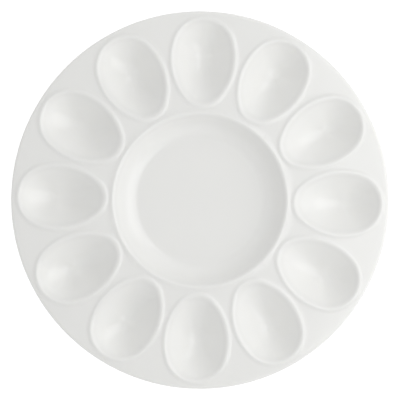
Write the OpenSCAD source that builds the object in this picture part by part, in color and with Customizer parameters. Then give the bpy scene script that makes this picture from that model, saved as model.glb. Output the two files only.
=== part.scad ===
// Deviled egg platter: a round one-piece porcelain plate with twelve egg-shaped wells round a centre dish.
// Z is up. The origin is at the middle of the foot ring, on the table. One well lies along +X.

/* [Plate] */
// Outside diameter of the plate
plate_d = 286; // [270:1:300]
// Thickness of the fired wall, with the glaze on both sides
wall_t = 4.6; // [4.2:0.1:5]
// Thickness of the rolled rim
rim_t = 5.4; // [5.2:0.1:6]
// Radius of the shallow dome that the flange follows
dome_r = 1300; // [1100:10:1600]
// Height that the dome would have over the middle of the plate
dome_top_z = 28.4; // [28:0.1:32]
// Width of the flange between the wells' lips and the plate's edge
rim_land = 5.4; // [5:0.1:8]
// Width of the flange between the wells' lips and the dish's lip
dish_land = 4.78; // [4.5:0.02:8]
// How far the lips stand up from the flange
lip_h = 1.3; // [1:0.1:1.5]
// Radius of the lips' rounded top
lip_r = 3.2; // [3:0.1:3.4]

/* [Centre dish] */
// Depth of the dish below the crest of its lip
dish_depth = 14.5; // [12:0.5:15]
// Radius of the corner between the dish's floor and its wall
dish_corner_r = 16; // [12:1:18]

/* [Wells] */
// Number of egg wells
well_n = 12; // [6:1:12]
// Radius of the blunt outer end, on the crest of the lip
well_blunt_r = 22.6; // [20:0.1:22.8]
// Radius of the narrow inner end, on the crest of the lip
well_narrow_r = 15.56; // [15.5:0.02:16]
// Distance between the centres of the two ends
well_span = 28.16; // [24:0.01:28.5]
// Radius of the long sides, on the crest of the lip
well_side_r = 43.4; // [40:0.1:60]
// Depth of a well below the crest of its lip
well_depth = 15; // [13:0.1:15.2]
// Radius of the corner between a well's floor and its wall
well_corner_r = 5; // [4:0.1:5.3]

/* [Foot ring] */
// Distance from the crest of the dish's lip in to the middle of the foot ring
foot_in = 18.5; // [18:0.5:22]
// Width of the foot ring where it leaves the dish
foot_w = 7; // [6:0.5:9]
// Width of the bare flat face that stands on the table
foot_face_w = 3.4; // [2.5:0.1:3.6]
// Radius of the foot ring's lower edges
foot_edge_r = 1; // [0.5:0.1:1]

/* [Hidden] */

// Sides of the round shapes, and of the large dome
$fn = 120;
dome_fn = 1440;
// Cutters run past what they cut by this much, and sectors reach this many times the radius that they trim
over = 1;
far_times = 4;
// Straight sides on the far edge of a sector
sector_sides = 4;
// Corners of the openings in the flange, which are hidden inside the wells' walls
opening_corners = 28;

plate_r = plate_d / 2;
half_t = wall_t / 2;

// The wells keep to the plate's edge, and the dish and the foot ring fill what they leave
well_ring_r = plate_r - rim_land - well_blunt_r;
dish_r = well_ring_r - well_span - well_narrow_r - dish_land;
foot_r = dish_r - foot_in;
dome_z = dome_top_z - dome_r;

// Height of the flange's face at a distance from the axis
function flange_z(r) = dome_z + sqrt(dome_r * dome_r - r * r);

// The walls rise by 4 for every 3 that they reach out, so that they meet their round corners at exact points
wall_rise = 4;
wall_reach = 3;
wall_slope = atan2(wall_rise, wall_reach);

// How far a wall and its corner reach in from the crest of the lip
function wall_run(depth, radii) =
    radii * sin(wall_slope) + (depth - radii * (1 - cos(wall_slope))) * wall_reach / wall_rise;

dish_run = wall_run(dish_depth, dish_corner_r + lip_r);
well_run = wall_run(well_depth, well_corner_r + lip_r);
dish_lip_z = flange_z(dish_r) + lip_h;
// The flange starts under the lips, inside their wall, at this share of their radius in from the crest
tuck_share = 0.4;
tuck = lip_r * tuck_share;

rim_r = plate_r - rim_t / 2;
rim_turn = asin(rim_r / (dome_r - half_t));
rim_z = dome_z + (dome_r - half_t) * cos(rim_turn);

// Where the side arcs have their centres, from the centre of the blunt end
side_blunt = well_side_r - well_blunt_r;
side_narrow = well_side_r - well_narrow_r;
side_x = (side_narrow * side_narrow - side_blunt * side_blunt - well_span * well_span) / (2 * well_span);
side_y = sqrt(side_blunt * side_blunt - side_x * side_x);

// Each well leans outwards with the flange, so that its lip keeps its height at both ends
well_out_x = well_ring_r + well_blunt_r;
well_in_x = well_ring_r - well_span - well_narrow_r;
well_lean = atan((flange_z(well_in_x) - flange_z(well_out_x)) / (well_out_x - well_in_x));
well_lip_z = flange_z(well_out_x) + lip_h + well_blunt_r * tan(well_lean);

// A sector of the plane about the origin, larger than a radius
module sector(from_a, to_a, r) {
    polygon(concat([[0, 0]], [for (i = [0 : sector_sides])
        let (a = from_a + (to_a - from_a) * i / sector_sides)
        far_times * r * [cos(a), sin(a)]]));
}

// Half a cross-section of a bowl between two depths under its face, with the crest of its lip at the origin:
// the rounded lip, the straight wall, the corner, and a flat floor that reaches in to floor_x.
module bowl_section(run, depth, corner_r, floor_x, from_t, to_t) {
    across = [-sin(wall_slope), cos(wall_slope)];
    corner_c = [-run, corner_r - depth];
    lip_c = [0, -lip_r];
    translate(lip_c)
        intersection() {
            circle(lip_r - from_t);
            sector(wall_slope - 90, wall_slope + 90, lip_r);
        }
    polygon([
        lip_c + (lip_r - from_t) * across,
        corner_c - (corner_r + from_t) * across,
        corner_c - (corner_r + to_t) * across,
        lip_c + (lip_r - to_t) * across
    ]);
    translate(corner_c)
        intersection() {
            difference() {
                circle(corner_r + to_t);
                circle(corner_r + from_t);
            }
            sector(-90, wall_slope - 90, corner_r + to_t);
        }
    translate([floor_x, -depth - to_t])
        square([-run - floor_x, to_t - from_t]);
}

// One arc of a well's wall: the section turned about the arc's centre and trimmed to its share of the outline
module well_arc(arc_r, corners, from_t, to_t, floor_x) {
    intersection() {
        rotate_extrude()
            intersection() {
                translate([arc_r, 0])
                    bowl_section(well_run, well_depth, well_corner_r, floor_x, from_t, to_t);
                translate([0, -well_depth - wall_t - over])
                    square([arc_r + lip_r + over, well_depth + wall_t + 2 * over]);
            }
        translate([0, 0, -well_depth - wall_t - over])
            linear_extrude(well_depth + wall_t + 2 * over)
                polygon(corners);
    }
}

// A well between two depths under its face, with the centre of its blunt end at the origin
module well_shell(from_t, to_t) {
    blunt_way = [-side_x, side_y] * far_times;
    narrow_way = [-side_x - well_span, side_y] * far_times;
    far = far_times * well_side_r;
    well_arc(
        well_blunt_r,
        [[0, 0], [blunt_way[0], -blunt_way[1]], [far, -far], [far, far], blunt_way],
        from_t, to_t, -well_blunt_r - over);
    translate([-well_span, 0, 0])
        well_arc(
            well_narrow_r,
            [[0, 0], narrow_way, [-far, far], [-far, -far], [narrow_way[0], -narrow_way[1]]],
            from_t, to_t, -well_narrow_r - over);
    for (hand = [0, 1])
        mirror([0, hand, 0])
            translate([side_x, -side_y, 0])
                well_arc(
                    well_side_r,
                    [[-side_x, side_y],
                     blunt_way,
                     narrow_way,
                     [-side_x - well_span, side_y]],
                    from_t, to_t, -side_y - well_run);
}

// Turns a well's own frame to its place along +X
module in_place() {
    translate([well_ring_r, 0, well_lip_z])
        rotate([0, well_lean, 0])
            children();
}

module each_well() {
    for (i = [0 : well_n - 1])
        rotate([0, 0, 360 * i / well_n])
            in_place()
                children();
}

// Point of a well's outline at an angle round its blunt end's centre, set in from the crest
function arc_point(centre, r, a) = centre + r * [cos(a), sin(a)];

// Corners of one side of a well's outline from the outer tip to the inner tip, set in from the crest by inset
function half_outline(inset) =
    let (
        turn_out = atan2(side_y, -side_x),
        turn_in = atan2(side_y, -side_x - well_span),
        count = opening_corners / 4)
    concat(
        [for (i = [0 : count - 1]) arc_point([0, 0], well_blunt_r - inset, turn_out * i / count)],
        [for (i = [0 : count - 1])
            arc_point([side_x, -side_y], well_side_r - inset, turn_out + (turn_in - turn_out) * i / count)],
        [for (i = [0 : count])
            arc_point([-well_span, 0], well_narrow_r - inset, turn_in + (180 - turn_in) * i / count)]);

// The opening in the flange for one well. Its sides are hidden inside the well's wall.
module well_opening() {
    side = half_outline(tuck);
    last = len(side) - 1;
    translate([0, 0, -lip_h - wall_t - 2 * over])
        linear_extrude(lip_h + wall_t + 4 * over)
            polygon(concat(side, [for (i = [1 : last - 1]) [side[last - i][0], -side[last - i][1]]]));
}

// The flat area between two depths under the flange's face
module dome_band(from_t, to_t) {
    translate([0, dome_z])
        difference() {
            circle(dome_r - from_t, $fn = dome_fn);
            circle(dome_r - to_t, $fn = dome_fn);
        }
}

// Half a cross-section of the flange and its rolled rim between two depths under the face
module flange_section(from_t, to_t, edge_t) {
    intersection() {
        dome_band(from_t, to_t);
        translate([dish_r - tuck, 0])
            square([rim_r - dish_r + tuck, dome_top_z + over]);
    }
    intersection() {
        translate([rim_r, rim_z])
            circle(rim_t / 2 - edge_t);
        dome_band(from_t > edge_t ? from_t : -over, to_t < wall_t - edge_t ? to_t : wall_t + over);
    }
}

// The whole plate between two depths under its face
module plate(from_t, to_t, edge_t) {
    difference() {
        rotate_extrude() {
            flange_section(from_t, to_t, edge_t);
            intersection() {
                translate([dish_r, dish_lip_z])
                    bowl_section(dish_run, dish_depth, dish_corner_r, -dish_r - over, from_t, to_t);
                square([dish_r + lip_r + over, dish_lip_z + over]);
            }
        }
        each_well()
            well_opening();
    }
    each_well()
        well_shell(from_t, to_t);
}

module porcelain_body() {
    color("#f1f1ee")
        plate(0, wall_t, 0);
}

// The ring that the plate stands on. Its top follows the underside of the dish.
module foot_ring() {
    face_half = foot_face_w / 2;
    top_z = dish_lip_z - dish_depth - half_t;
    color("#d9d2c4")
        rotate_extrude()
            difference() {
                translate([foot_r, 0]) {
                    polygon([
                        [-face_half, 0],
                        [face_half, 0],
                        [face_half + foot_edge_r, foot_edge_r],
                        [foot_w / 2, top_z],
                        [-foot_w / 2, top_z],
                        [-face_half - foot_edge_r, foot_edge_r]
                    ]);
                    for (side = [-1, 1])
                        translate([side * face_half, foot_edge_r])
                            circle(foot_edge_r);
                }
                intersection() {
                    translate([dish_r, dish_lip_z])
                        bowl_section(dish_run, dish_depth, dish_corner_r, -dish_r - over, 0, wall_t);
                    square([dish_r + lip_r + over, dish_lip_z + over]);
                }
            }
}

porcelain_body();
foot_ring();
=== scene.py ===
"""Looks of a deviled egg platter: a one-piece porcelain plate with a ring of egg-shaped wells round a dish.

Lengths are in millimetres until a mesh is finished, when it is scaled to the frame's metres.
The plate's axis is Z, the table is at zero, and the middle of one well lies along +X.
"""

from __future__ import annotations

import logging
import math
import sys
from collections.abc import Callable, Sequence
from dataclasses import dataclass
from enum import Enum
from functools import cached_property

import bmesh
import bpy
import numpy as np
from mathutils import Matrix, Vector

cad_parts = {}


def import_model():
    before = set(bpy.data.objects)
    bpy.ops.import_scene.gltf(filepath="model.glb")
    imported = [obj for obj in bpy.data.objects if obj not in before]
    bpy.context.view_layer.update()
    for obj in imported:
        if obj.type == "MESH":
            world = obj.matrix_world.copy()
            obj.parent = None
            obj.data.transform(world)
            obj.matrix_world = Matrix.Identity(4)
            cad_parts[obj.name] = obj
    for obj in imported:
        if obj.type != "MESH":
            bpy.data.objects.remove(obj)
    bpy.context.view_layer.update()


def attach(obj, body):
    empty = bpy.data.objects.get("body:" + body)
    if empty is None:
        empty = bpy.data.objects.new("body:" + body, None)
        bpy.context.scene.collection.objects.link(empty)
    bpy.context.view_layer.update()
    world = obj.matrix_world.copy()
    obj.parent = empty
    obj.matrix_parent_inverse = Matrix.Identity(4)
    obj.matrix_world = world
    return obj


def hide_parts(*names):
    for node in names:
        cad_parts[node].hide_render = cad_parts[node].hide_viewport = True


# Metres in a millimetre
MM = 0.001
# Points nearer to each other than this are merged, in millimetres
WELD = 0.02
FULL_TURN = 2 * math.pi
# Directions in an upright section, in degrees: straight up and straight down
UP, DOWN = 90.0, -90.0
# Steps in which slopes are added up, an outline's length is measured, and its reach is looked up
SLOPE_STEPS = 600
LENGTH_STEPS = 400
REACH_STEPS = 720
# Values between which most of a noise lies
NOISE_SPAN = (0.3, 0.7)
# Sockets of a Mix node that blends colours: its share, its two colours and its result
MIX_SHARE, MIX_FIRST, MIX_SECOND, MIX_RESULT = 0, 6, 7, 2

log = logging.getLogger("egg_platter")

Field = np.ndarray
Profile = Sequence[tuple[float, float]]
Ring = list[bmesh.types.BMVert]
Settings = dict[str | int, object]
Links = dict[str | int, bpy.types.NodeSocket]


def ray_point(r: float, turn: float) -> Vector:
    """Flat point at a distance and in a direction from the plate's axis."""
    return Vector((r * math.cos(turn), r * math.sin(turn)))


def smooth_step(x: Field) -> Field:
    """Eases from 0 to 1 as x goes from 0 to 1."""
    x = np.clip(x, 0.0, 1.0)
    return x * x * (3.0 - 2.0 * x)


def soft_max(a: Field, b: Field, blend: float) -> Field:
    """The larger of two fields, rounded where they differ by less than blend.

    Args:
        a: First field.
        b: Second field.
        blend: Difference below which the corner between them is rounded.

    Returns:
        The rounded maximum.
    """
    near = np.maximum(blend - np.abs(a - b), 0.0) / blend
    return np.maximum(a, b) + near * near * blend / 4.0


@dataclass(frozen=True)
class SlopeCurve:
    """A rise from 0 to 1 whose steepness follows a table of slopes, as it is read off a wall's shading.

    Attributes:
        shares: Places along the run, from 0 to 1.
        degrees: Slope at each place. Only the ratios of their tangents count, as the rise is scaled to 1.
    """

    shares: tuple[float, ...]
    degrees: tuple[float, ...]

    @cached_property
    def table(self) -> tuple[Field, Field]:
        """The curve in fine steps.

        Returns:
            Shares of the run, and the share of the rise at each.
        """
        run = np.linspace(0.0, 1.0, SLOPE_STEPS)
        steep = np.tan(np.radians(np.interp(run, self.shares, self.degrees)))
        rise = np.concatenate([[0.0], np.cumsum((steep[1:] + steep[:-1]) / 2.0)])
        return run, rise / rise[-1]

    def at(self, share: Field) -> Field:
        """Share of the rise at a share of the run."""
        return np.interp(share, *self.table)


@dataclass(frozen=True)
class Flange:
    """The plate's broad surface between the dish and the rim: a shallow dome that droops outwards.

    Attributes:
        dome_r: Radius of the dome.
        dome_top: Height that the dome would have over the plate's middle.
        plate_r: Outside radius of the plate.
        edge_r: Radius of the rolled rim's section.
        wall: Thickness of the fired wall.
        thicken_from: Distance from the axis at which the flange begins to grow into the rim.
    """

    dome_r: float = 1300.0
    dome_top: float = 28.4
    plate_r: float = 142.97
    edge_r: float = 2.4
    wall: float = 4.6
    thicken_from: float = 126.0

    def height(self, r: Field) -> Field:
        """Height of the bare flange at a distance from the axis."""
        return self.dome_top - self.dome_r + np.sqrt(self.dome_r**2 - np.square(r))

    @property
    def tilt(self) -> float:
        """Slope of the flange where the rim's roll begins, in radians."""
        return math.asin((self.plate_r - self.edge_r) / (self.dome_r - self.edge_r))

    @property
    def edge_centre(self) -> tuple[float, float]:
        """Distance and height of the middle of the rolled rim's section."""
        z = self.dome_top - self.dome_r + (self.dome_r - self.edge_r) * math.cos(self.tilt)
        return self.plate_r - self.edge_r, z

    def edge_point(self, degrees: float) -> tuple[float, float]:
        """Point of the rolled rim's section.

        Args:
            degrees: Direction from the section's middle, from 0 for outwards to UP.

        Returns:
            Distance from the axis and height.
        """
        r, z = self.edge_centre
        a = math.radians(degrees)
        return r + self.edge_r * math.cos(a), z + self.edge_r * math.sin(a)

    def thickness(self, r: Field) -> Field:
        """Thickness of the flange, which grows into the rolled rim.

        Args:
            r: Distance from the axis.

        Returns:
            The thickness there.
        """
        edge_middle = self.plate_r - self.edge_r
        grow = smooth_step((r - self.thicken_from) / (edge_middle - self.thicken_from))
        return self.wall + (2.0 * self.edge_r - self.wall) * grow


@dataclass(frozen=True)
class EggOutline:
    """The crest of a well's lip from above: a blunt outer arc, a narrow inner arc and two long side arcs.

    Attributes:
        blunt_x: Distance from the axis to the centre of the blunt arc.
        blunt_r: Radius of the blunt arc.
        narrow_x: Distance from the axis to the centre of the narrow arc.
        narrow_r: Radius of the narrow arc.
        side_r: Radius of the side arcs.
    """

    blunt_x: float = 114.5
    blunt_r: float = 23.1
    narrow_x: float = 87.2
    narrow_r: float = 16.3
    side_r: float = 46.1

    @cached_property
    def side_centre(self) -> tuple[float, float]:
        """Centre of the arc on the well's left side, which lies on its right.

        Returns:
            Its place along the well's axis and across it.
        """
        to_blunt = self.side_r - self.blunt_r
        to_narrow = self.side_r - self.narrow_r
        span = self.blunt_x - self.narrow_x
        back = (to_narrow**2 - to_blunt**2 - span**2) / (2.0 * span)
        return self.blunt_x + back, -math.sqrt(to_blunt**2 - back**2)

    @cached_property
    def turns(self) -> tuple[float, float]:
        """Directions of the outward normal where the blunt arc ends and where the narrow one begins."""
        x, y = self.side_centre
        return math.atan2(-y, self.blunt_x - x), math.atan2(-y, self.narrow_x - x)

    def crest(self, turn: float) -> tuple[float, float]:
        """Point of the outline where its outward normal has a direction.

        Args:
            turn: Direction of the normal, from 0 at the outer tip to pi at the inner one.

        Returns:
            The point's place along the well's axis and across it.
        """
        first, last = self.turns
        if turn <= first:
            x, y, r = self.blunt_x, 0.0, self.blunt_r
        elif turn <= last:
            (x, y), r = self.side_centre, self.side_r
        else:
            x, y, r = self.narrow_x, 0.0, self.narrow_r
        return x + r * math.cos(turn), y + r * math.sin(turn)

    def even_turns(self, start: float, end: float, count: int) -> list[float]:
        """Normals of points spread evenly along the outline.

        Args:
            start: First normal's direction.
            end: Direction past the last step.
            count: Number of steps.

        Returns:
            The normal at the start of each step.
        """
        turns = np.linspace(start, end, LENGTH_STEPS)
        points = np.array([self.crest(t) for t in turns])
        along = np.concatenate([[0.0], np.cumsum(np.hypot(*np.diff(points, axis=0).T))])
        return [float(t) for t in np.interp(np.linspace(0.0, along[-1], count + 1)[:-1], along, turns)]

    def outside(self, u: Field, v: Field) -> Field:
        """Distance outside the crest, negative inside the well.

        Args:
            u: Place along the well's axis.
            v: Place across it.

        Returns:
            The signed distance.
        """
        v = np.abs(v)
        first, last = self.turns
        x, y = self.side_centre
        turn = np.arctan2(v - y, u - x)
        blunt = np.hypot(u - self.blunt_x, v) - self.blunt_r
        narrow = np.hypot(u - self.narrow_x, v) - self.narrow_r
        side = np.hypot(u - x, v - y) - self.side_r
        return np.where(turn < first, blunt, np.where(turn > last, narrow, side))


@dataclass(frozen=True)
class WellForm:
    """The hollow of a well: scaled copies of its outline about its deepest point.

    Attributes:
        outline: Crest of the lip.
        middle: Distance from the axis to the deepest point.
        depth: Depth below the lip beside the deepest point.
        inner_flat: How much flatter the bottom runs towards the inner end.
        outer_flat: How much flatter the bottom runs towards the outer end.
        wall: Slopes from the deepest point to the crest.
    """

    outline: EggOutline = EggOutline()
    middle: float = 108.5
    depth: float = 17.0
    inner_flat: float = 0.28
    outer_flat: float = 0.38
    wall: SlopeCurve = SlopeCurve(
        (0, 0.06, 0.125, 0.19, 0.25, 0.31, 0.375, 0.44, 0.5, 0.56, 0.625, 0.69, 0.75, 0.81, 0.87, 0.94, 1),
        (0, 8, 16, 24, 29, 33, 34.5, 36, 37.5, 39, 40.5, 41.5, 42, 41.5, 39.5, 26, 0),
    )

    @cached_property
    def reach(self) -> tuple[Field, Field]:
        """How far the crest lies from the deepest point.

        Returns:
            Directions from the deepest point, and the distance to the crest in each.
        """
        points = np.array([self.outline.crest(t) for t in np.linspace(0.0, math.pi, REACH_STEPS)])
        way = np.arctan2(points[:, 1], points[:, 0] - self.middle)
        far = np.hypot(points[:, 1], points[:, 0] - self.middle)
        order = np.argsort(way)
        return way[order], far[order]

    def polar(self, u: Field, v: Field) -> tuple[Field, Field, Field]:
        """Place of points in the well.

        Args:
            u: Place along the well's axis.
            v: Place across it.

        Returns:
            Direction from the deepest point, distance to the crest that way, and the point's share of it.
        """
        way = np.arctan2(np.abs(v), u - self.middle)
        far = np.interp(way, *self.reach)
        return way, far, np.hypot(u - self.middle, v) / far


@dataclass(frozen=True)
class DishForm:
    """The centre dish.

    Attributes:
        crest_r: Radius of the crest of its lip.
        floor_r: Radius of its flat floor.
        depth: Depth of the floor below the crest.
        wall: Slopes from the floor to the crest.
    """

    crest_r: float = 66.15
    floor_r: float = 47.5
    depth: float = 13.6
    wall: SlopeCurve = SlopeCurve(
        (0, 0.08, 0.21, 0.35, 0.48, 0.61, 0.7, 0.78, 0.84, 0.9, 0.95, 1),
        (0, 11.5, 19, 26, 32, 36.5, 39.5, 40, 38, 32, 19, 0),
    )


@dataclass(frozen=True)
class FaceRelief:
    """Height of the glazed face over the table.

    Attributes:
        flange: The plate's broad surface.
        well: Form of each well.
        dish: Form of the dish.
        wells: Number of wells.
        lip_h: Height of the lips over the flange.
        lip_w: Distance outside its crest at which a lip's outer flank is steepest.
        valley: Rounding where two flanks meet.
        lips_end: Distances from the axis over which the lips fade into the rolled rim.
    """

    flange: Flange = Flange()
    well: WellForm = WellForm()
    dish: DishForm = DishForm()
    wells: int = 12
    lip_h: float = 1.0
    lip_w: float = 1.5
    valley: float = 0.5
    lips_end: tuple[float, float] = (139.2, 140.8)

    @property
    def pitch(self) -> float:
        """Angle from one well to the next."""
        return FULL_TURN / self.wells

    def flank(self, away: Field) -> Field:
        """Height of a lip's outer flank at a distance outside its crest."""
        return self.lip_h * np.exp(-0.5 * np.square(np.maximum(away, 0.0) / self.lip_w))

    def local(self, x: Field, y: Field) -> tuple[Field, Field, Field, Field]:
        """Turns points into the frame of the nearest well.

        Args:
            x: Place along the plate's X axis.
            y: Place along its Y axis.

        Returns:
            Place along and across the well's axis, then the same in the next nearest well's frame.
        """
        r, a = np.hypot(x, y), np.arctan2(y, x)
        a = a - np.round(a / self.pitch) * self.pitch
        b = a - np.where(a < 0.0, -self.pitch, self.pitch)
        return r * np.cos(a), r * np.sin(a), r * np.cos(b), r * np.sin(b)

    def height(self, x: Field, y: Field, lips: bool = True) -> Field:
        """Height of the face.

        Args:
            x: Place along the plate's X axis.
            y: Place along its Y axis.
            lips: False for the face without its lips, which the underside follows.

        Returns:
            Height over the table.
        """
        r = np.hypot(x, y)
        u, v, next_u, next_v = self.local(x, y)
        away = self.well.outline.outside(u, v)
        lip_h = self.lip_h if lips else 0.0
        z = self.flange.height(r)
        if lips:
            mine = self.flank(away)
            other = self.flank(self.well.outline.outside(next_u, next_v))
            dish = self.flank(r - self.dish.crest_r)
            start, end = self.lips_end
            fade = 1.0 - smooth_step((r - start) / (end - start))
            z = z + soft_max(soft_max(mine, other, self.valley), dish, self.valley) * fade
        return self.with_dish(r, np.where(away < 0.0, self.hollow(u, v, lip_h), z), lip_h)

    def hollow(self, u: Field, v: Field, lip_h: float) -> Field:
        """Height inside a well.

        Args:
            u: Place along the well's axis.
            v: Place across it.
            lip_h: Height of the lip over the flange.

        Returns:
            Height over the table.
        """
        well = self.well
        way, far, share = well.polar(u, v)
        crest_r = np.hypot(well.middle + far * np.cos(way), far * np.sin(way))
        crest = self.flange.height(crest_r) + lip_h
        side = np.interp(math.pi / 2.0, *well.reach)
        floor = self.flange.height(math.hypot(well.middle, side)) + self.lip_h - well.depth
        ends = np.square(np.cos(way)) * np.where(np.cos(way) > 0.0, well.outer_flat, well.inner_flat)
        flat = np.power(np.clip(share, 0.0, 1.0), 1.0 + ends)
        return floor + (crest - floor) * well.wall.at(flat)

    def with_dish(self, r: Field, z: Field, lip_h: float) -> Field:
        """Puts the dish into a field of heights.

        Args:
            r: Distance from the axis.
            z: Height without the dish.
            lip_h: Height of the lip over the flange.

        Returns:
            Height with the dish.
        """
        dish = self.dish
        crest = self.flange.height(dish.crest_r) + lip_h
        floor = self.flange.height(dish.crest_r) + self.lip_h - dish.depth
        share = np.clip((r - dish.floor_r) / (dish.crest_r - dish.floor_r), 0.0, 1.0)
        return np.where(r < dish.crest_r, floor + (crest - floor) * dish.wall.at(share), z)


@dataclass(frozen=True)
class BackRelief:
    """Height of the glazed underside: the face without its lips, one wall lower, with soft corners.

    Attributes:
        face: The face that it follows.
        step: Spacing of the grid on which it is worked out.
        near: Distance from the axis at which the grid begins. Inside it the dish's floor is flat.
        far: Distance at which the grid ends.
        half_width: Half the grid's width across a well.
        fillet: Spread of the rounding of its hollow corners.
        fillet_reach: How many spreads the rounding reaches.
        margin: Lines along the grid's sides that aren't read, because they mix with the far side.
    """

    face: FaceRelief = FaceRelief()
    step: float = 0.5
    near: float = 34.0
    far: float = 152.0
    half_width: float = 46.0
    fillet: float = 1.5
    fillet_reach: float = 3.0
    margin: float = 10.0

    @cached_property
    def grid(self) -> Field:
        """Heights on a grid along and across one well.

        Returns:
            The face's heights with the plate's wall taken off square to the face, and the corners rounded.
        """
        u = np.arange(self.near, self.far, self.step)
        v = np.arange(-self.half_width, self.half_width + self.step / 2.0, self.step)
        uu, vv = np.meshgrid(u, v, indexing="ij")
        top = self.face.height(uu, vv, lips=False)
        wall = self.face.flange.wall
        under = top - self.face.flange.thickness(np.hypot(uu, vv))
        reach = int(wall / self.step)
        for i in range(-reach, reach + 1):
            for j in range(-reach, reach + 1):
                gap = wall**2 - (i * i + j * j) * self.step**2
                if gap > 0.0:
                    under = np.minimum(under, np.roll(top, (i, j), (0, 1)) - math.sqrt(gap))
        return self.soften(under)

    def soften(self, z: Field) -> Field:
        """Blurs the grid both ways by the fillet's spread.

        Args:
            z: Heights on the grid.

        Returns:
            The blurred heights.
        """
        reach = int(self.fillet_reach * self.fillet / self.step)
        weights = np.exp(-0.5 * np.square(np.arange(-reach, reach + 1) * self.step / self.fillet))
        weights /= weights.sum()
        for axis in (0, 1):
            z = sum(w * np.roll(z, k - reach, axis) for k, w in enumerate(weights))
        return z

    def height(self, x: Field, y: Field) -> Field:
        """Height of the underside.

        Args:
            x: Place along the plate's X axis.
            y: Place along its Y axis.

        Returns:
            Height over the table.
        """
        u, v, _, _ = self.face.local(x, y)
        grid = self.grid
        last_i, last_j = (count - self.margin - 2.0 for count in grid.shape)
        i = np.clip((u - self.near) / self.step, self.margin, last_i)
        j = np.clip((v + self.half_width) / self.step, self.margin, last_j)
        i0, j0 = i.astype(int), j.astype(int)
        a, b = i - i0, j - j0
        low = grid[i0, j0] * (1.0 - a) + grid[i0 + 1, j0] * a
        high = grid[i0, j0 + 1] * (1.0 - a) + grid[i0 + 1, j0 + 1] * a
        return low * (1.0 - b) + high * b


@dataclass(frozen=True)
class SectorNet:
    """How the mesh lines run in one well's sector of the plate: rings along the lip, then out to its sides.

    Attributes:
        inner_r: Where the sector meets the dish.
        outer_r: Where it meets the rolled rim.
        outer_steps: Mesh steps along half of its outer arc.
        side_steps: Mesh steps along each straight side.
        inner_steps: Mesh steps along half of its inner arc.
        flank_rings: Rings on the lip's outer flank.
        land_rings: Rings from the flank to the sector's sides.
        flank_w: Width that the flank's rings cover.
        flank_share: Most of the way to the sector's sides that they cover where the land is narrow.
        hollow_shares: Shares of the way to the deepest point at which the rings in the well lie.
    """

    inner_r: float
    outer_r: float
    outer_steps: int = 12
    side_steps: int = 23
    inner_steps: int = 6
    flank_rings: int = 8
    land_rings: int = 3
    flank_w: float = 3.9
    flank_share: float = 0.8
    hollow_shares: tuple[float, ...] = (
        0.016, 0.034, 0.053, 0.075, 0.1, 0.13, 0.165, 0.205, 0.25, 0.3, 0.355, 0.415, 0.48, 0.545, 0.61,
        0.675, 0.735, 0.79, 0.84, 0.885, 0.925, 0.96,
    )

    def half_ring(self, outline: EggOutline, pitch: float) -> tuple[list[Vector], list[Vector]]:
        """Points of the left half of the crest, and where their mesh lines end on the sector's edge.

        Args:
            outline: Crest of the lip.
            pitch: Angle that the sector spans.

        Returns:
            The crest's points from the outer tip to the inner one, and as many points of the edge.
        """
        half = pitch / 2.0
        outer, inner = ray_point(self.outer_r, half), ray_point(self.inner_r, half)
        out_turn = math.atan2(outer.y, outer.x - outline.blunt_x)
        in_turn = math.atan2(inner.y, inner.x - outline.narrow_x)
        turns = (
            outline.even_turns(0.0, out_turn, self.outer_steps)
            + outline.even_turns(out_turn, in_turn, self.side_steps)
            + outline.even_turns(in_turn, math.pi, self.inner_steps)
            + [math.pi]
        )
        edge = [
            *(ray_point(self.outer_r, half * k / self.outer_steps) for k in range(self.outer_steps)),
            *(outer.lerp(inner, k / self.side_steps) for k in range(self.side_steps)),
            *(ray_point(self.inner_r, half * (1.0 - k / self.inner_steps)) for k in range(self.inner_steps)),
            ray_point(self.inner_r, 0.0),
        ]
        return [Vector(outline.crest(t)) for t in turns], edge

    def rings(self, well: WellForm, pitch: float) -> list[list[Vector]]:
        """Every ring of the sector, from its edge in to the well's bottom.

        Args:
            well: Form of the well.
            pitch: Angle that the sector spans.

        Returns:
            Rings of points, each from the outer tip round by the left side.
        """
        crest, edge = self.half_ring(well.outline, pitch)
        halves = [
            [spot(c, e, k) for c, e in zip(crest, edge, strict=True)]
            for spot, count in ((self.on_land, self.land_rings), (self.on_flank, self.flank_rings))
            for k in range(count, 0, -1)
        ]
        middle = Vector((well.middle, 0.0))
        halves += [[c.lerp(middle, share) for c in crest] for share in (0.0, *self.hollow_shares)]
        return [half + [Vector((p.x, -p.y)) for p in reversed(half[1:-1])] for half in halves]

    def on_flank(self, crest: Vector, edge: Vector, ring: int) -> Vector:
        """Point of a flank's ring on the line from the crest to the sector's edge.

        Args:
            crest: Where the line leaves the crest.
            edge: Where it ends on the sector's edge.
            ring: Number of the ring, counted from the crest.

        Returns:
            The point.
        """
        way = edge - crest
        reach = min(self.flank_w, self.flank_share * way.length)
        return crest + way.normalized() * reach * ring / self.flank_rings

    def on_land(self, crest: Vector, edge: Vector, ring: int) -> Vector:
        """Point of a land's ring, between the flank's last ring and the sector's edge."""
        foot = self.on_flank(crest, edge, self.flank_rings)
        return foot.lerp(edge, ring / self.land_rings)


def tidy_faces(bm: bmesh.types.BMesh, upward: bool) -> None:
    """Makes a sheet's faces point one way.

    Args:
        bm: The sheet.
        upward: True for up, False for down.
    """
    bmesh.ops.recalc_face_normals(bm, faces=bm.faces)
    bm.normal_update()
    total = sum(f.normal.z * f.calc_area() for f in bm.faces)
    if (total > 0.0) != upward:
        bmesh.ops.reverse_faces(bm, faces=bm.faces)
        bm.normal_update()


def ring_edges(bm: bmesh.types.BMesh, ring: Ring) -> list[bmesh.types.BMEdge]:
    """Edges that join the vertices of a closed ring."""
    return [bm.edges.get(ends) for ends in zip(ring, ring[1:] + ring[:1], strict=True)]


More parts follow.
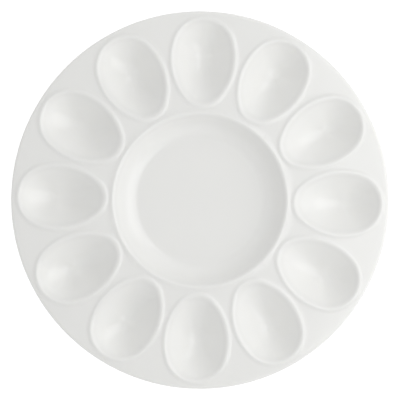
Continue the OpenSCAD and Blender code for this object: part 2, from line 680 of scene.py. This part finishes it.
def next_ring(bm: bmesh.types.BMesh, ring: Ring) -> Ring:
    """Extrudes a closed ring of edges and returns its new vertices in the same order.

    Args:
        bm: The mesh.
        ring: Vertices of the ring in order.

    Returns:
        The new vertices, one for each old one.
    """
    made = bmesh.ops.extrude_edge_only(bm, edges=ring_edges(bm, ring))["geom"]
    new = {v for v in made if isinstance(v, bmesh.types.BMVert)}
    return [next(e.other_vert(v) for e in v.link_edges if e.other_vert(v) in new) for v in ring]


def first_ring(bm: bmesh.types.BMesh, count: int) -> Ring:
    """Starts a mesh from a circle of loose edges.

    Args:
        bm: The mesh.
        count: Vertices of the circle.

    Returns:
        Its vertices in order.
    """
    verts = bmesh.ops.create_circle(bm, cap_ends=False, radius=1.0, segments=count)["verts"]
    return sorted(verts, key=lambda v: math.atan2(v.co.y, v.co.x) % FULL_TURN)


def ring_stack(bm: bmesh.types.BMesh, line: Ring, places: Sequence[Sequence[Vector]]) -> Ring:
    """Moves a ring to its places, and extrudes it from each row of places to the next.

    Args:
        bm: The mesh.
        line: Vertices of the first ring in order.
        places: Places of each ring's vertices.

    Returns:
        Vertices of the last ring.
    """
    for k, row in enumerate(places):
        line = next_ring(bm, line) if k else line
        for v, place in zip(line, row, strict=True):
            v.co = place
    return line


def close_ring(bm: bmesh.types.BMesh, ring: Ring, middle: Vector) -> None:
    """Closes a ring with a fan of triangles round a middle point.

    Args:
        bm: The mesh.
        ring: Vertices of the ring in order.
        middle: Where the fan's middle lies.
    """
    cap = bmesh.ops.edgeloop_fill(bm, edges=ring_edges(bm, ring))["faces"]
    bmesh.ops.poke(bm, faces=cap)["verts"][0].co = middle


@dataclass
class PlatterSheet:
    """One side of the plate as an open sheet, from the middle to the outermost line of the rolled rim.

    Attributes:
        net: How the mesh lines run round each well.
        height: Height of this side at a point.
        well: Form of the wells.
        wells: Number of wells.
        dish_rings: Distances from the axis of the rings inside the sectors, from the outermost in.
        edge_points: Distances and heights of the rings of the rolled rim, from the sectors outwards.
        upward: True for the face, False for the underside.
    """

    net: SectorNet
    height: Callable[[Field, Field], Field]
    well: WellForm
    wells: int
    dish_rings: tuple[float, ...]
    edge_points: Profile
    upward: bool

    def lifted(self, points: Sequence[Vector]) -> list[Vector]:
        """Gives flat points their heights."""
        x, y = np.array([(p.x, p.y) for p in points]).T
        return [Vector(place) for place in zip(x, y, self.height(x, y), strict=True)]

    def sector(self, bm: bmesh.types.BMesh) -> None:
        """Builds one well's share of the sheet and turns copies of it round the plate.

        Args:
            bm: The mesh.
        """
        rings = [self.lifted(ring) for ring in self.net.rings(self.well, FULL_TURN / self.wells)]
        line = ring_stack(bm, first_ring(bm, len(rings[0])), rings)
        close_ring(bm, line, self.lifted([Vector((self.well.middle, 0.0))])[0])
        bmesh.ops.spin(
            bm, geom=bm.verts[:] + bm.edges[:] + bm.faces[:], cent=(0, 0, 0), axis=(0, 0, 1), dvec=(0, 0, 0),
            angle=FULL_TURN * (self.wells - 1) / self.wells, steps=self.wells - 1, use_duplicate=True,
        )

    def round_band(self, bm: bmesh.types.BMesh, radii: Sequence[float], edge: Profile, steps: int) -> None:
        """Builds rings that are circles about the plate's axis.

        Args:
            bm: The mesh.
            radii: Distances from the axis of rings that lie on this side's relief.
            edge: Distances and heights of rings of the rolled rim. Without any, the last ring is closed.
            steps: Vertices of a ring.
        """
        line = first_ring(bm, steps)
        ways = [Vector((v.co.x, v.co.y)).normalized() for v in line]
        rings = [self.lifted([way * r for way in ways]) for r in radii]
        rings += [[Vector((*(way * r), z)) for way in ways] for r, z in edge]
        line = ring_stack(bm, line, rings)
        if not edge:
            close_ring(bm, line, self.lifted([Vector((0.0, 0.0))])[0])

    def build(self) -> bmesh.types.BMesh:
        """Builds the whole sheet.

        Returns:
            The sheet, with its faces pointing out of the porcelain.
        """
        bm = bmesh.new()
        self.sector(bm)
        self.round_band(bm, (self.net.inner_r, *self.dish_rings), (), 2 * self.net.inner_steps * self.wells)
        self.round_band(bm, (self.net.outer_r,), self.edge_points, 2 * self.net.outer_steps * self.wells)
        bmesh.ops.remove_doubles(bm, verts=bm.verts, dist=WELD)
        tidy_faces(bm, self.upward)
        return bm


def finish_mesh(bm: bmesh.types.BMesh, name: str, smooth: bool = True) -> bpy.types.Object:
    """Scales a mesh to metres and makes it an object of the scene.

    Args:
        bm: The mesh in millimetres. It is freed.
        name: Name of the piece.
        smooth: True for smooth shading.

    Returns:
        The object, at the origin.
    """
    bmesh.ops.transform(bm, matrix=Matrix.Scale(MM, 4), verts=bm.verts)
    for f in bm.faces:
        f.smooth = smooth
    mesh = bpy.data.meshes.new(name)
    bm.to_mesh(mesh)
    bm.free()
    obj = bpy.data.objects.new(name, mesh)
    bpy.context.scene.collection.objects.link(obj)
    return obj


def linear(hex_colour: str) -> tuple[float, float, float, float]:
    """Turns an sRGB hex colour into the linear colour that a shader takes.

    Args:
        hex_colour: Six hex digits after a hash.

    Returns:
        Linear red, green and blue, with an alpha of 1.
    """
    # The curve and its numbers are those of the sRGB standard
    parts = [int(hex_colour[i : i + 2], 16) / 255.0 for i in (1, 3, 5)]
    red, green, blue = (c / 12.92 if c <= 0.04045 else ((c + 0.055) / 1.055) ** 2.4 for c in parts)
    return red, green, blue, 1.0


def add_node(tree: bpy.types.NodeTree, kind: str, settings: Settings | None = None,
             links: Links | None = None) -> bpy.types.Node:
    """Adds a node to a material or a world.

    Args:
        tree: The node tree.
        kind: Type of the node.
        settings: Values of its properties, or of its input sockets by name or number.
        links: Output sockets to join to its inputs, by input name or number.

    Returns:
        The new node.
    """
    node = tree.nodes.new(kind)
    for key, value in (settings or {}).items():
        if isinstance(key, str) and hasattr(node, key) and key not in node.inputs:
            setattr(node, key, value)
        else:
            node.inputs[key].default_value = value
    for key, output in (links or {}).items():
        tree.links.new(output, node.inputs[key])
    return node


def new_material(name: str) -> bpy.types.Material:
    """Makes a material whose node tree is still empty.

    Args:
        name: Name of the material.

    Returns:
        The material.
    """
    mat = bpy.data.materials.new(name)
    mat.use_nodes = True
    mat.node_tree.nodes.clear()
    return mat


def noise(tree: bpy.types.NodeTree, place: bpy.types.NodeSocket, size_mm: float,
          detail: float) -> bpy.types.NodeSocket:
    """Adds noise whose features have a size in millimetres.

    Args:
        tree: The node tree.
        place: Coordinates in metres.
        size_mm: Size of the features.
        detail: Octaves of finer noise.

    Returns:
        The noise's value.
    """
    settings = {"Scale": 1.0 / (size_mm * MM), "Detail": detail}
    return add_node(tree, "ShaderNodeTexNoise", settings, {"Vector": place}).outputs["Fac"]


def blend_colours(tree: bpy.types.NodeTree, first: str, second: str,
                  share: bpy.types.NodeSocket) -> bpy.types.NodeSocket:
    """Blends two colours.

    Args:
        tree: The node tree.
        first: Hex colour at a share of 0.
        second: Hex colour at a share of 1.
        share: Where between them.

    Returns:
        The colour.
    """
    settings = {"data_type": "RGBA", MIX_FIRST: linear(first), MIX_SECOND: linear(second)}
    return add_node(tree, "ShaderNodeMix", settings, {MIX_SHARE: share}).outputs[MIX_RESULT]


class Slot(Enum):
    """The record's material slots."""

    BODY = "porcelain_body"
    FOOT = "bare_foot"


@dataclass(frozen=True)
class GlazedPorcelain:
    """Hard white porcelain under a clear gloss glaze, dipped and fired.

    The eye sees a near-white body, painted a shade lighter in the hollows to lift the shade that falls there,
    and a surface that is glossy but never quite even: it waves over a couple of centimetres and has a fine
    orange peel.

    Attributes:
        name: Name of the material.
        body_colour: Colour of the open surfaces.
        hollow_light_and_cloud: Lighter colour painted into the hollows to lift their shade; the faint clouds
            also drift towards it.
        ior: Index of refraction of the glaze.
        roughness: Roughness of the glaze.
        roughness_spread: How much the roughness varies over the surface.
        cloud_mm: Size of the faint clouds in the colour and the roughness.
        cloud_detail: Octaves of finer noise in the clouds.
        cloud_share: How far the clouds shift the colour between the body colour and the lighter one.
        wave_mm: Length of the glaze's waves.
        wave_height_mm: Height of the waves.
        peel_mm: Size of the orange peel.
        peel_height_mm: Height of the orange peel.
        relief_detail: Octaves of finer noise in the waves and the orange peel.
        translucency: How much of the light enters the body under the glaze and comes out beside.
        depth_mm: How far it gets, for red, green and blue.
    """

    name: str = "porcelain_gloss_glaze"
    body_colour: str = "#E4E4E2"
    # The lighter colour is painted into the hollows as light that lifts their shade
    hollow_light_and_cloud: str = "#EAEAE8"
    ior: float = 1.5
    roughness: float = 0.12
    roughness_spread: float = 0.04
    cloud_mm: float = 40.0
    cloud_detail: float = 3.0
    cloud_share: float = 0.06
    wave_mm: float = 17.0
    wave_height_mm: float = 0.02
    peel_mm: float = 1.6
    peel_height_mm: float = 0.0012
    relief_detail: float = 1.0
    translucency: float = 0.5
    depth_mm: tuple[float, float, float] = (2.8, 2.8, 2.7)

    def build(self) -> bpy.types.Material:
        """Makes the material.

        Returns:
            The material, which paints the hollows lighter to lift their shade where a piece has the attribute
            painted_hollow_light.
        """
        mat = new_material(self.name)
        tree = mat.node_tree
        place = add_node(tree, "ShaderNodeTexCoord").outputs["Object"]
        # Painted light: this attribute blends the lighter colour into the hollows to lift the shade there
        hollow_lift = add_node(tree, "ShaderNodeAttribute", {"attribute_name": "painted_hollow_light"}).outputs["Fac"]
        clouds = noise(tree, place, self.cloud_mm, self.cloud_detail)
        low, high = NOISE_SPAN
        drift = add_node(tree, "ShaderNodeMapRange",
                         {"From Min": low, "From Max": high,
                          "To Min": -self.cloud_share, "To Max": self.cloud_share}, {"Value": clouds})
        share = add_node(tree, "ShaderNodeMath", {"operation": "ADD", "use_clamp": True},
                         {0: hollow_lift, 1: drift.outputs["Result"]})
        colour = blend_colours(tree, self.body_colour, self.hollow_light_and_cloud, share.outputs[0])
        rough = add_node(tree, "ShaderNodeMapRange",
                         {"To Min": self.roughness - self.roughness_spread,
                          "To Max": self.roughness + self.roughness_spread}, {"Value": clouds})
        swell = add_node(tree, "ShaderNodeBump", {"Strength": 1.0, "Distance": self.wave_height_mm * MM},
                         {"Height": noise(tree, place, self.wave_mm, self.relief_detail)})
        grain = add_node(tree, "ShaderNodeBump", {"Strength": 1.0, "Distance": self.peel_height_mm * MM},
                         {"Height": noise(tree, place, self.peel_mm, self.relief_detail),
                          "Normal": swell.outputs["Normal"]})
        shader = add_node(tree, "ShaderNodeBsdfPrincipled",
                          {"IOR": self.ior, "Subsurface Weight": self.translucency,
                           "Subsurface Radius": self.depth_mm, "Subsurface Scale": MM},
                          {"Base Color": colour, "Roughness": rough.outputs["Result"],
                           "Normal": grain.outputs["Normal"]})
        add_node(tree, "ShaderNodeOutputMaterial", links={"Surface": shader.outputs["BSDF"]})
        return mat


@dataclass(frozen=True)
class BarePorcelain:
    """Unglazed fired porcelain, ground flat where it stands.

    The eye sees a slightly warm, matt, fine-grained surface with faint stains.

    Attributes:
        name: Name of the material.
        pale: Lighter colour.
        deep: Darker colour.
        ior: Index of refraction of the bare body.
        roughness: Its roughness.
        grain_mm: Size of its grain, drawn coarser than the real one of about 0.1 mm so that it shows.
        grain_detail: Octaves of finer noise in the grain.
        grain_height_mm: Depth of the grain.
        grain_strength: How much of that depth the shading takes up.
        stain_mm: Size of the stains.
        stain_detail: Octaves of finer noise in the stains.
    """

    name: str = "porcelain_bare_ground"
    pale: str = "#EDE8DC"
    deep: str = "#D3C9B5"
    ior: float = 1.5
    roughness: float = 0.7
    grain_mm: float = 0.8
    grain_detail: float = 3.0
    grain_height_mm: float = 0.02
    grain_strength: float = 0.6
    stain_mm: float = 12.0
    stain_detail: float = 2.0

    def build(self) -> bpy.types.Material:
        """Makes the material.

        Returns:
            The material.
        """
        mat = new_material(self.name)
        tree = mat.node_tree
        place = add_node(tree, "ShaderNodeTexCoord").outputs["Object"]
        grain = noise(tree, place, self.grain_mm, self.grain_detail)
        share = add_node(tree, "ShaderNodeMath", {"operation": "MULTIPLY"},
                         {0: grain, 1: noise(tree, place, self.stain_mm, self.stain_detail)})
        bump = add_node(tree, "ShaderNodeBump",
                        {"Strength": self.grain_strength, "Distance": self.grain_height_mm * MM},
                        {"Height": grain})
        shader = add_node(tree, "ShaderNodeBsdfPrincipled", {"IOR": self.ior, "Roughness": self.roughness},
                          {"Base Color": blend_colours(tree, self.pale, self.deep, share.outputs[0]),
                           "Normal": bump.outputs["Normal"]})
        add_node(tree, "ShaderNodeOutputMaterial", links={"Surface": shader.outputs["BSDF"]})
        return mat


@dataclass
class Platter:
    """The fired and glazed plate: face, rolled rim and underside in one closed skin.

    Attributes:
        back: Relief of the underside, which has the face's in it.
        rim_rings: Rings on each half of the rolled rim.
        dish_rings: Distances from the axis of the face's rings in the dish.
        back_inner_r: Where the underside's sectors end.
        back_rings: Distances from the axis of the underside's rings inside the sectors.
        back_flank_rings: The underside's rings beside each well.
        back_flank_w: Width that they cover.
        back_shares: Shares of the way to a well's deepest point at which its underside's rings lie.
        lift_depth: Depth below the lips at which the hollows get the full painted light, a lighter colour
            that lifts their shade.
        dish_lift_cut: How much less of that painted light the dish's wide floor gets.
        lift_cut_over: Distances from the axis over which that sets in.
    """

    back: BackRelief
    rim_rings: int = 8
    dish_rings: tuple[float, ...] = (
        65.8, 65.2, 64.5, 63.7, 62.8, 61.6, 60.2, 58.6, 56.8, 54.9, 53.0, 51.0, 49.2, 47.6, 46.2, 44.5, 40.0,
        33.0, 24.0, 14.0, 6.0,
    )
    back_inner_r: float = 60.0
    back_rings: tuple[float, ...] = (58.0, 56.0, 54.0, 52.0, 50.0, 48.0, 46.0, 43.0, 38.0, 30.0, 20.0, 9.0)
    back_flank_rings: int = 6
    back_flank_w: float = 6.0
    back_shares: tuple[float, ...] = (
        0.04, 0.08, 0.12, 0.17, 0.23, 0.3, 0.38, 0.47, 0.56, 0.66, 0.76, 0.86, 0.94,
    )
    # Painted light in the hollows: the depth at which it is full, and how much less the dish's floor gets
    lift_depth: float = 4.5
    dish_lift_cut: float = 0.95
    lift_cut_over: tuple[float, float] = (54.0, 44.0)

    @property
    def face(self) -> FaceRelief:
        """Relief of the face."""
        return self.back.face

    def rim(self, start: float) -> Profile:
        """Points of the rolled rim from a direction of its section to the equator."""
        rings = self.rim_rings
        return [self.face.flange.edge_point(start * (1.0 - k / rings)) for k in range(1, rings + 1)]

    def face_sheet(self) -> PlatterSheet:
        """Plans the face.

        Returns:
            The face as a sheet.
        """
        flange = self.face.flange
        start = UP - math.degrees(flange.tilt)
        return PlatterSheet(
            net=SectorNet(inner_r=self.face.dish.crest_r, outer_r=flange.edge_point(start)[0]),
            height=self.face.height, well=self.face.well, wells=self.face.wells, dish_rings=self.dish_rings,
            edge_points=self.rim(start), upward=True,
        )

    def back_sheet(self) -> PlatterSheet:
        """Plans the underside.

        Returns:
            The underside as a sheet.
        """
        flange = self.face.flange
        start = DOWN - math.degrees(flange.tilt)
        net = SectorNet(
            inner_r=self.back_inner_r, outer_r=flange.edge_point(start)[0],
            flank_rings=self.back_flank_rings, flank_w=self.back_flank_w, hollow_shares=self.back_shares,
        )
        return PlatterSheet(
            net=net, height=self.back.height, well=self.face.well, wells=self.face.wells,
            dish_rings=self.back_rings, edge_points=self.rim(start), upward=False,
        )

    def build(self, material: bpy.types.Material) -> bpy.types.Object:
        """Builds the plate.

        Args:
            material: Its finish.

        Returns:
            The piece.
        """
        bm = self.face_sheet().build()
        under = self.back_sheet().build()
        scratch = bpy.data.meshes.new("scratch")
        under.to_mesh(scratch)
        under.free()
        bm.from_mesh(scratch)
        bpy.data.meshes.remove(scratch)
        bmesh.ops.remove_doubles(bm, verts=[v for v in bm.verts if v.is_boundary], dist=WELD)
        obj = finish_mesh(bm, "glazed_plate")
        self.paint_hollow_light(obj)
        obj.data.materials.append(material)
        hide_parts("porcelain_body")
        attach(obj, "root")
        return obj

    def paint_hollow_light(self, obj: bpy.types.Object) -> None:
        """Writes at each vertex how much lighter colour is painted there to lift the shade in the hollows,
        from how deep it lies below the lips.

        Args:
            obj: The plate.
        """
        points = np.empty(3 * len(obj.data.vertices))
        obj.data.vertices.foreach_get("co", points)
        x, y, z = points.reshape(-1, 3).T / MM
        depth = self.face.flange.height(np.hypot(x, y)) + self.face.lip_h - z
        start, end = self.lift_cut_over
        on_floor = smooth_step((start - np.hypot(x, y)) / (start - end))
        # Painted light: deeper points get more of the lighter colour, and the dish's floor gets less
        hollow_lift = smooth_step(depth / self.lift_depth) * (1.0 - self.dish_lift_cut * on_floor)
        obj.data.attributes.new("painted_hollow_light", "FLOAT", "POINT").data.foreach_set("value", hollow_lift)


@dataclass
class FootRing:
    """The ring that the plate stands on: glazed sides that flow into the dish, and a bare ground face.

    Attributes:
        back: Relief of the plate's underside, which its top follows.
        mean_r: Mean radius of the ring.
        face_w: Width of its bare face.
        face_line: Share of the way from its middle to its edge at which it has a mesh line.
        edge_r: Radius of its lower edges.
        edge_end: Where these roundings stop, in degrees from straight down.
        width: Width where it leaves the fillets.
        fillet_r: Radius of the hollow corners under the dish.
        fillet_end: Where the hollow corners stop, in degrees, just short of the dish.
        tuck: How far its top is sunk into the plate.
        steps: Mesh steps round the ring.
        corner_steps: Mesh steps round each corner.
    """

    back: BackRelief
    mean_r: float = 48.0
    face_w: float = 3.4
    face_line: float = 0.5
    edge_r: float = 1.0
    edge_end: float = 80.0
    width: float = 6.6
    fillet_r: float = 2.2
    fillet_end: float = 84.0
    tuck: float = 1.0
    steps: int = 192
    corner_steps: int = 5

    def under(self, r: float) -> float:
        """Height of the plate's underside at a distance from the axis."""
        return float(self.back.height(np.array([r]), np.array([0.0]))[0])

    def half_profile(self, hand: int) -> list[tuple[float, float]]:
        """Half of the cross-section, from inside the bare face to the top, which is sunk into the plate.

        Args:
            hand: 1 for the outer half, -1 for the inner one.

        Returns:
            Distances from the axis and heights.
        """
        half, edge, side = self.face_w / 2.0, self.edge_r, self.width / 2.0
        points = [(half * self.face_line, 0.0), (half, 0.0)]
        for k in range(1, self.corner_steps + 1):
            a = math.radians(self.edge_end) * k / self.corner_steps
            points.append((half + edge * math.sin(a), edge - edge * math.cos(a)))
        for k in range(self.corner_steps + 1):
            a = math.radians(self.fillet_end) * k / self.corner_steps
            x = side + self.fillet_r * (1.0 - math.cos(a))
            points.append((x, self.under(self.mean_r + hand * x) - self.fillet_r * (1.0 - math.sin(a))))
        points.append((points[-1][0], points[-1][1] + self.tuck))
        return [(self.mean_r + hand * x, z) for x, z in points]

    def build(self, bare: bpy.types.Material, glazed: bpy.types.Material) -> bpy.types.Object:
        """Builds the ring.

        Args:
            bare: Finish of the face that stands on the table.
            glazed: Finish of its sides.

        Returns:
            The piece.
        """
        loop = self.half_profile(1) + self.half_profile(-1)[::-1]
        bm = bmesh.new()
        for v, (r, z) in zip(first_ring(bm, len(loop)), loop, strict=True):
            v.co = (r, 0.0, z)
        bmesh.ops.spin(bm, geom=bm.verts[:] + bm.edges[:], cent=(0, 0, 0), axis=(0, 0, 1), dvec=(0, 0, 0),
                       angle=FULL_TURN, steps=self.steps, use_merge=True, use_duplicate=False)
        bmesh.ops.recalc_face_normals(bm, faces=bm.faces)
        for f in bm.faces:
            f.material_index = 0 if max(v.co.z for v in f.verts) < WELD else 1
        obj = finish_mesh(bm, "bare_foot_ring")
        obj.data.materials.append(bare)
        obj.data.materials.append(glazed)
        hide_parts("foot_ring")
        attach(obj, "root")
        return obj


@dataclass(frozen=True)
class Softbox:
    """A large soft light.

    Attributes:
        name: Name of the light.
        azimuth: Direction that it shines from, in degrees from +X towards +Y.
        elevation: Its height over the table, in degrees.
        distance: Distance from the plate, in metres.
        size: Length of its sides, in metres.
        watts: Its power.
    """

    name: str
    azimuth: float
    elevation: float
    distance: float
    size: float
    watts: float

    def build(self) -> bpy.types.Object:
        """Makes the light.

        Returns:
            The light, aimed at the plate's middle.
        """
        light = bpy.data.lights.new(self.name, "AREA")
        light.shape, light.size, light.energy = "SQUARE", self.size, self.watts
        obj = bpy.data.objects.new(self.name, light)
        a, e = math.radians(self.azimuth), math.radians(self.elevation)
        way = Vector((math.cos(e) * math.cos(a), math.cos(e) * math.sin(a), math.sin(e)))
        obj.location = way * self.distance
        obj.rotation_euler = way.to_track_quat("Z", "Y").to_euler()
        bpy.context.scene.collection.objects.link(obj)
        return obj


@dataclass
class Studio:
    """A white light table, a large softbox on the right, even light from all round, and a camera above.

    Attributes:
        key: The softbox.
        ambient: Strength of the even light.
        floor_half: Half the floor's width, in metres.
        floor_drop: How far the floor lies under the foot's face, so that the two don't share a plane.
        floor_albedo: How much of the light the floor gives back to the plate.
        floor_glow: What the floor, which is a light table, adds to that.
        seen_albedo: The same for the floor as the camera sees it.
        seen_glow: What is added there, so that the lit floor is pure white and only its shadow shows.
        lens: Focal length, in millimetres.
        sensor: Width of the sensor, in millimetres.
        view_w: Width of the view at the height of the flange, in millimetres.
        view_z: That height, in millimetres.
        roll: Turn of the camera, in degrees.
        offset: Place of the camera beside the plate's axis, in millimetres.
        clip_end: How far the camera sees, in metres.
    """

    key: Softbox = Softbox(name="key_softbox", azimuth=3.0, elevation=46.0, distance=1.3, size=1.5, watts=8.3)
    ambient: float = 0.75
    floor_half: float = 20.0
    floor_drop: float = 0.02
    floor_albedo: float = 0.7
    floor_glow: float = 0.22
    seen_albedo: float = 0.35
    seen_glow: float = 0.85
    lens: float = 200.0
    sensor: float = 36.0
    view_w: float = 302.8
    view_z: float = 18.5
    roll: float = 1.4
    offset: tuple[float, float] = (0.0, 0.05)
    clip_end: float = 100.0

    def build(self) -> None:
        """Builds the floor, the lights and the camera."""
        self.build_floor()
        self.build_world()
        self.key.build()
        self.build_camera()
        bpy.context.scene.view_settings.view_transform = "Standard"

    def seen_rays(self, tree: bpy.types.NodeTree) -> bpy.types.NodeSocket:
        """Tells rays that show the surroundings themselves from those that light the plate.

        Args:
            tree: The node tree.

        Returns:
            A socket that is 1 for camera, glossy and transmission rays.
        """
        path = add_node(tree, "ShaderNodeLightPath")
        first = add_node(tree, "ShaderNodeMath", {"operation": "MAXIMUM"},
                         {0: path.outputs["Is Camera Ray"], 1: path.outputs["Is Glossy Ray"]})
        return add_node(tree, "ShaderNodeMath", {"operation": "MAXIMUM"},
                        {0: first.outputs[0], 1: path.outputs["Is Transmission Ray"]}).outputs[0]

    def build_floor(self) -> None:
        """Builds the white light table. It keeps the plate's faint shadow, and is clear from below."""
        bm = bmesh.new()
        bmesh.ops.create_grid(bm, x_segments=1, y_segments=1, size=self.floor_half / MM,
                              matrix=Matrix.Translation((0.0, 0.0, -self.floor_drop)))
        floor = finish_mesh(bm, "sweep", smooth=False)
        mat = new_material("white_paper_sweep")
        tree = mat.node_tree
        sides = []
        for albedo, glow in ((self.floor_albedo, self.floor_glow), (self.seen_albedo, self.seen_glow)):
            paper = add_node(tree, "ShaderNodeBsdfDiffuse", {"Color": (albedo, albedo, albedo, 1.0)})
            light = add_node(tree, "ShaderNodeEmission", {"Strength": glow})
            both = add_node(tree, "ShaderNodeAddShader", links={0: paper.outputs[0], 1: light.outputs[0]})
            sides.append(both.outputs[0])
        seen = self.seen_rays(tree)
        pick = add_node(tree, "ShaderNodeMixShader", links={0: seen, 1: sides[0], 2: sides[1]})
        clear = add_node(tree, "ShaderNodeBsdfTransparent").outputs[0]
        behind = add_node(tree, "ShaderNodeNewGeometry").outputs["Backfacing"]
        show = add_node(tree, "ShaderNodeMixShader", links={0: behind, 1: pick.outputs[0], 2: clear})
        add_node(tree, "ShaderNodeOutputMaterial", links={"Surface": show.outputs[0]})
        floor.data.materials.append(mat)

    def build_world(self) -> None:
        """Builds the even light. It is plain white where it is seen."""
        world = bpy.data.worlds.new("studio_air")
        world.use_nodes = True
        tree = world.node_tree
        tree.nodes.clear()
        strength = add_node(tree, "ShaderNodeMapRange", {"To Min": self.ambient, "To Max": 1.0},
                            {"Value": self.seen_rays(tree)})
        sky = add_node(tree, "ShaderNodeBackground", {"Color": (1.0, 1.0, 1.0, 1.0)},
                       {"Strength": strength.outputs["Result"]})
        add_node(tree, "ShaderNodeOutputWorld", links={"Surface": sky.outputs[0]})
        bpy.context.scene.world = world

    def build_camera(self) -> None:
        """Puts the camera straight above the plate."""
        cam = bpy.data.cameras.new("camera")
        cam.lens, cam.sensor_width = self.lens, self.sensor
        cam.clip_end = self.clip_end
        obj = bpy.data.objects.new("camera", cam)
        far = self.view_w * self.lens / self.sensor
        obj.location = Vector((*self.offset, self.view_z + far)) * MM
        obj.rotation_euler = (0.0, 0.0, math.radians(self.roll))
        bpy.context.scene.collection.objects.link(obj)
        bpy.context.scene.camera = obj


def main() -> None:
    """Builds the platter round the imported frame, and the studio round the platter."""
    logging.basicConfig(level=logging.INFO, format="%(message)s", stream=sys.stdout)
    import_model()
    glazed = GlazedPorcelain().build()
    bare = BarePorcelain().build()
    back = BackRelief()
    for piece in (Platter(back).build(glazed), FootRing(back).build(bare, glazed)):
        log.info("%s: %d faces", piece.name, len(piece.data.polygons))
    Studio().build()


if __name__ == "__main__":
    main()
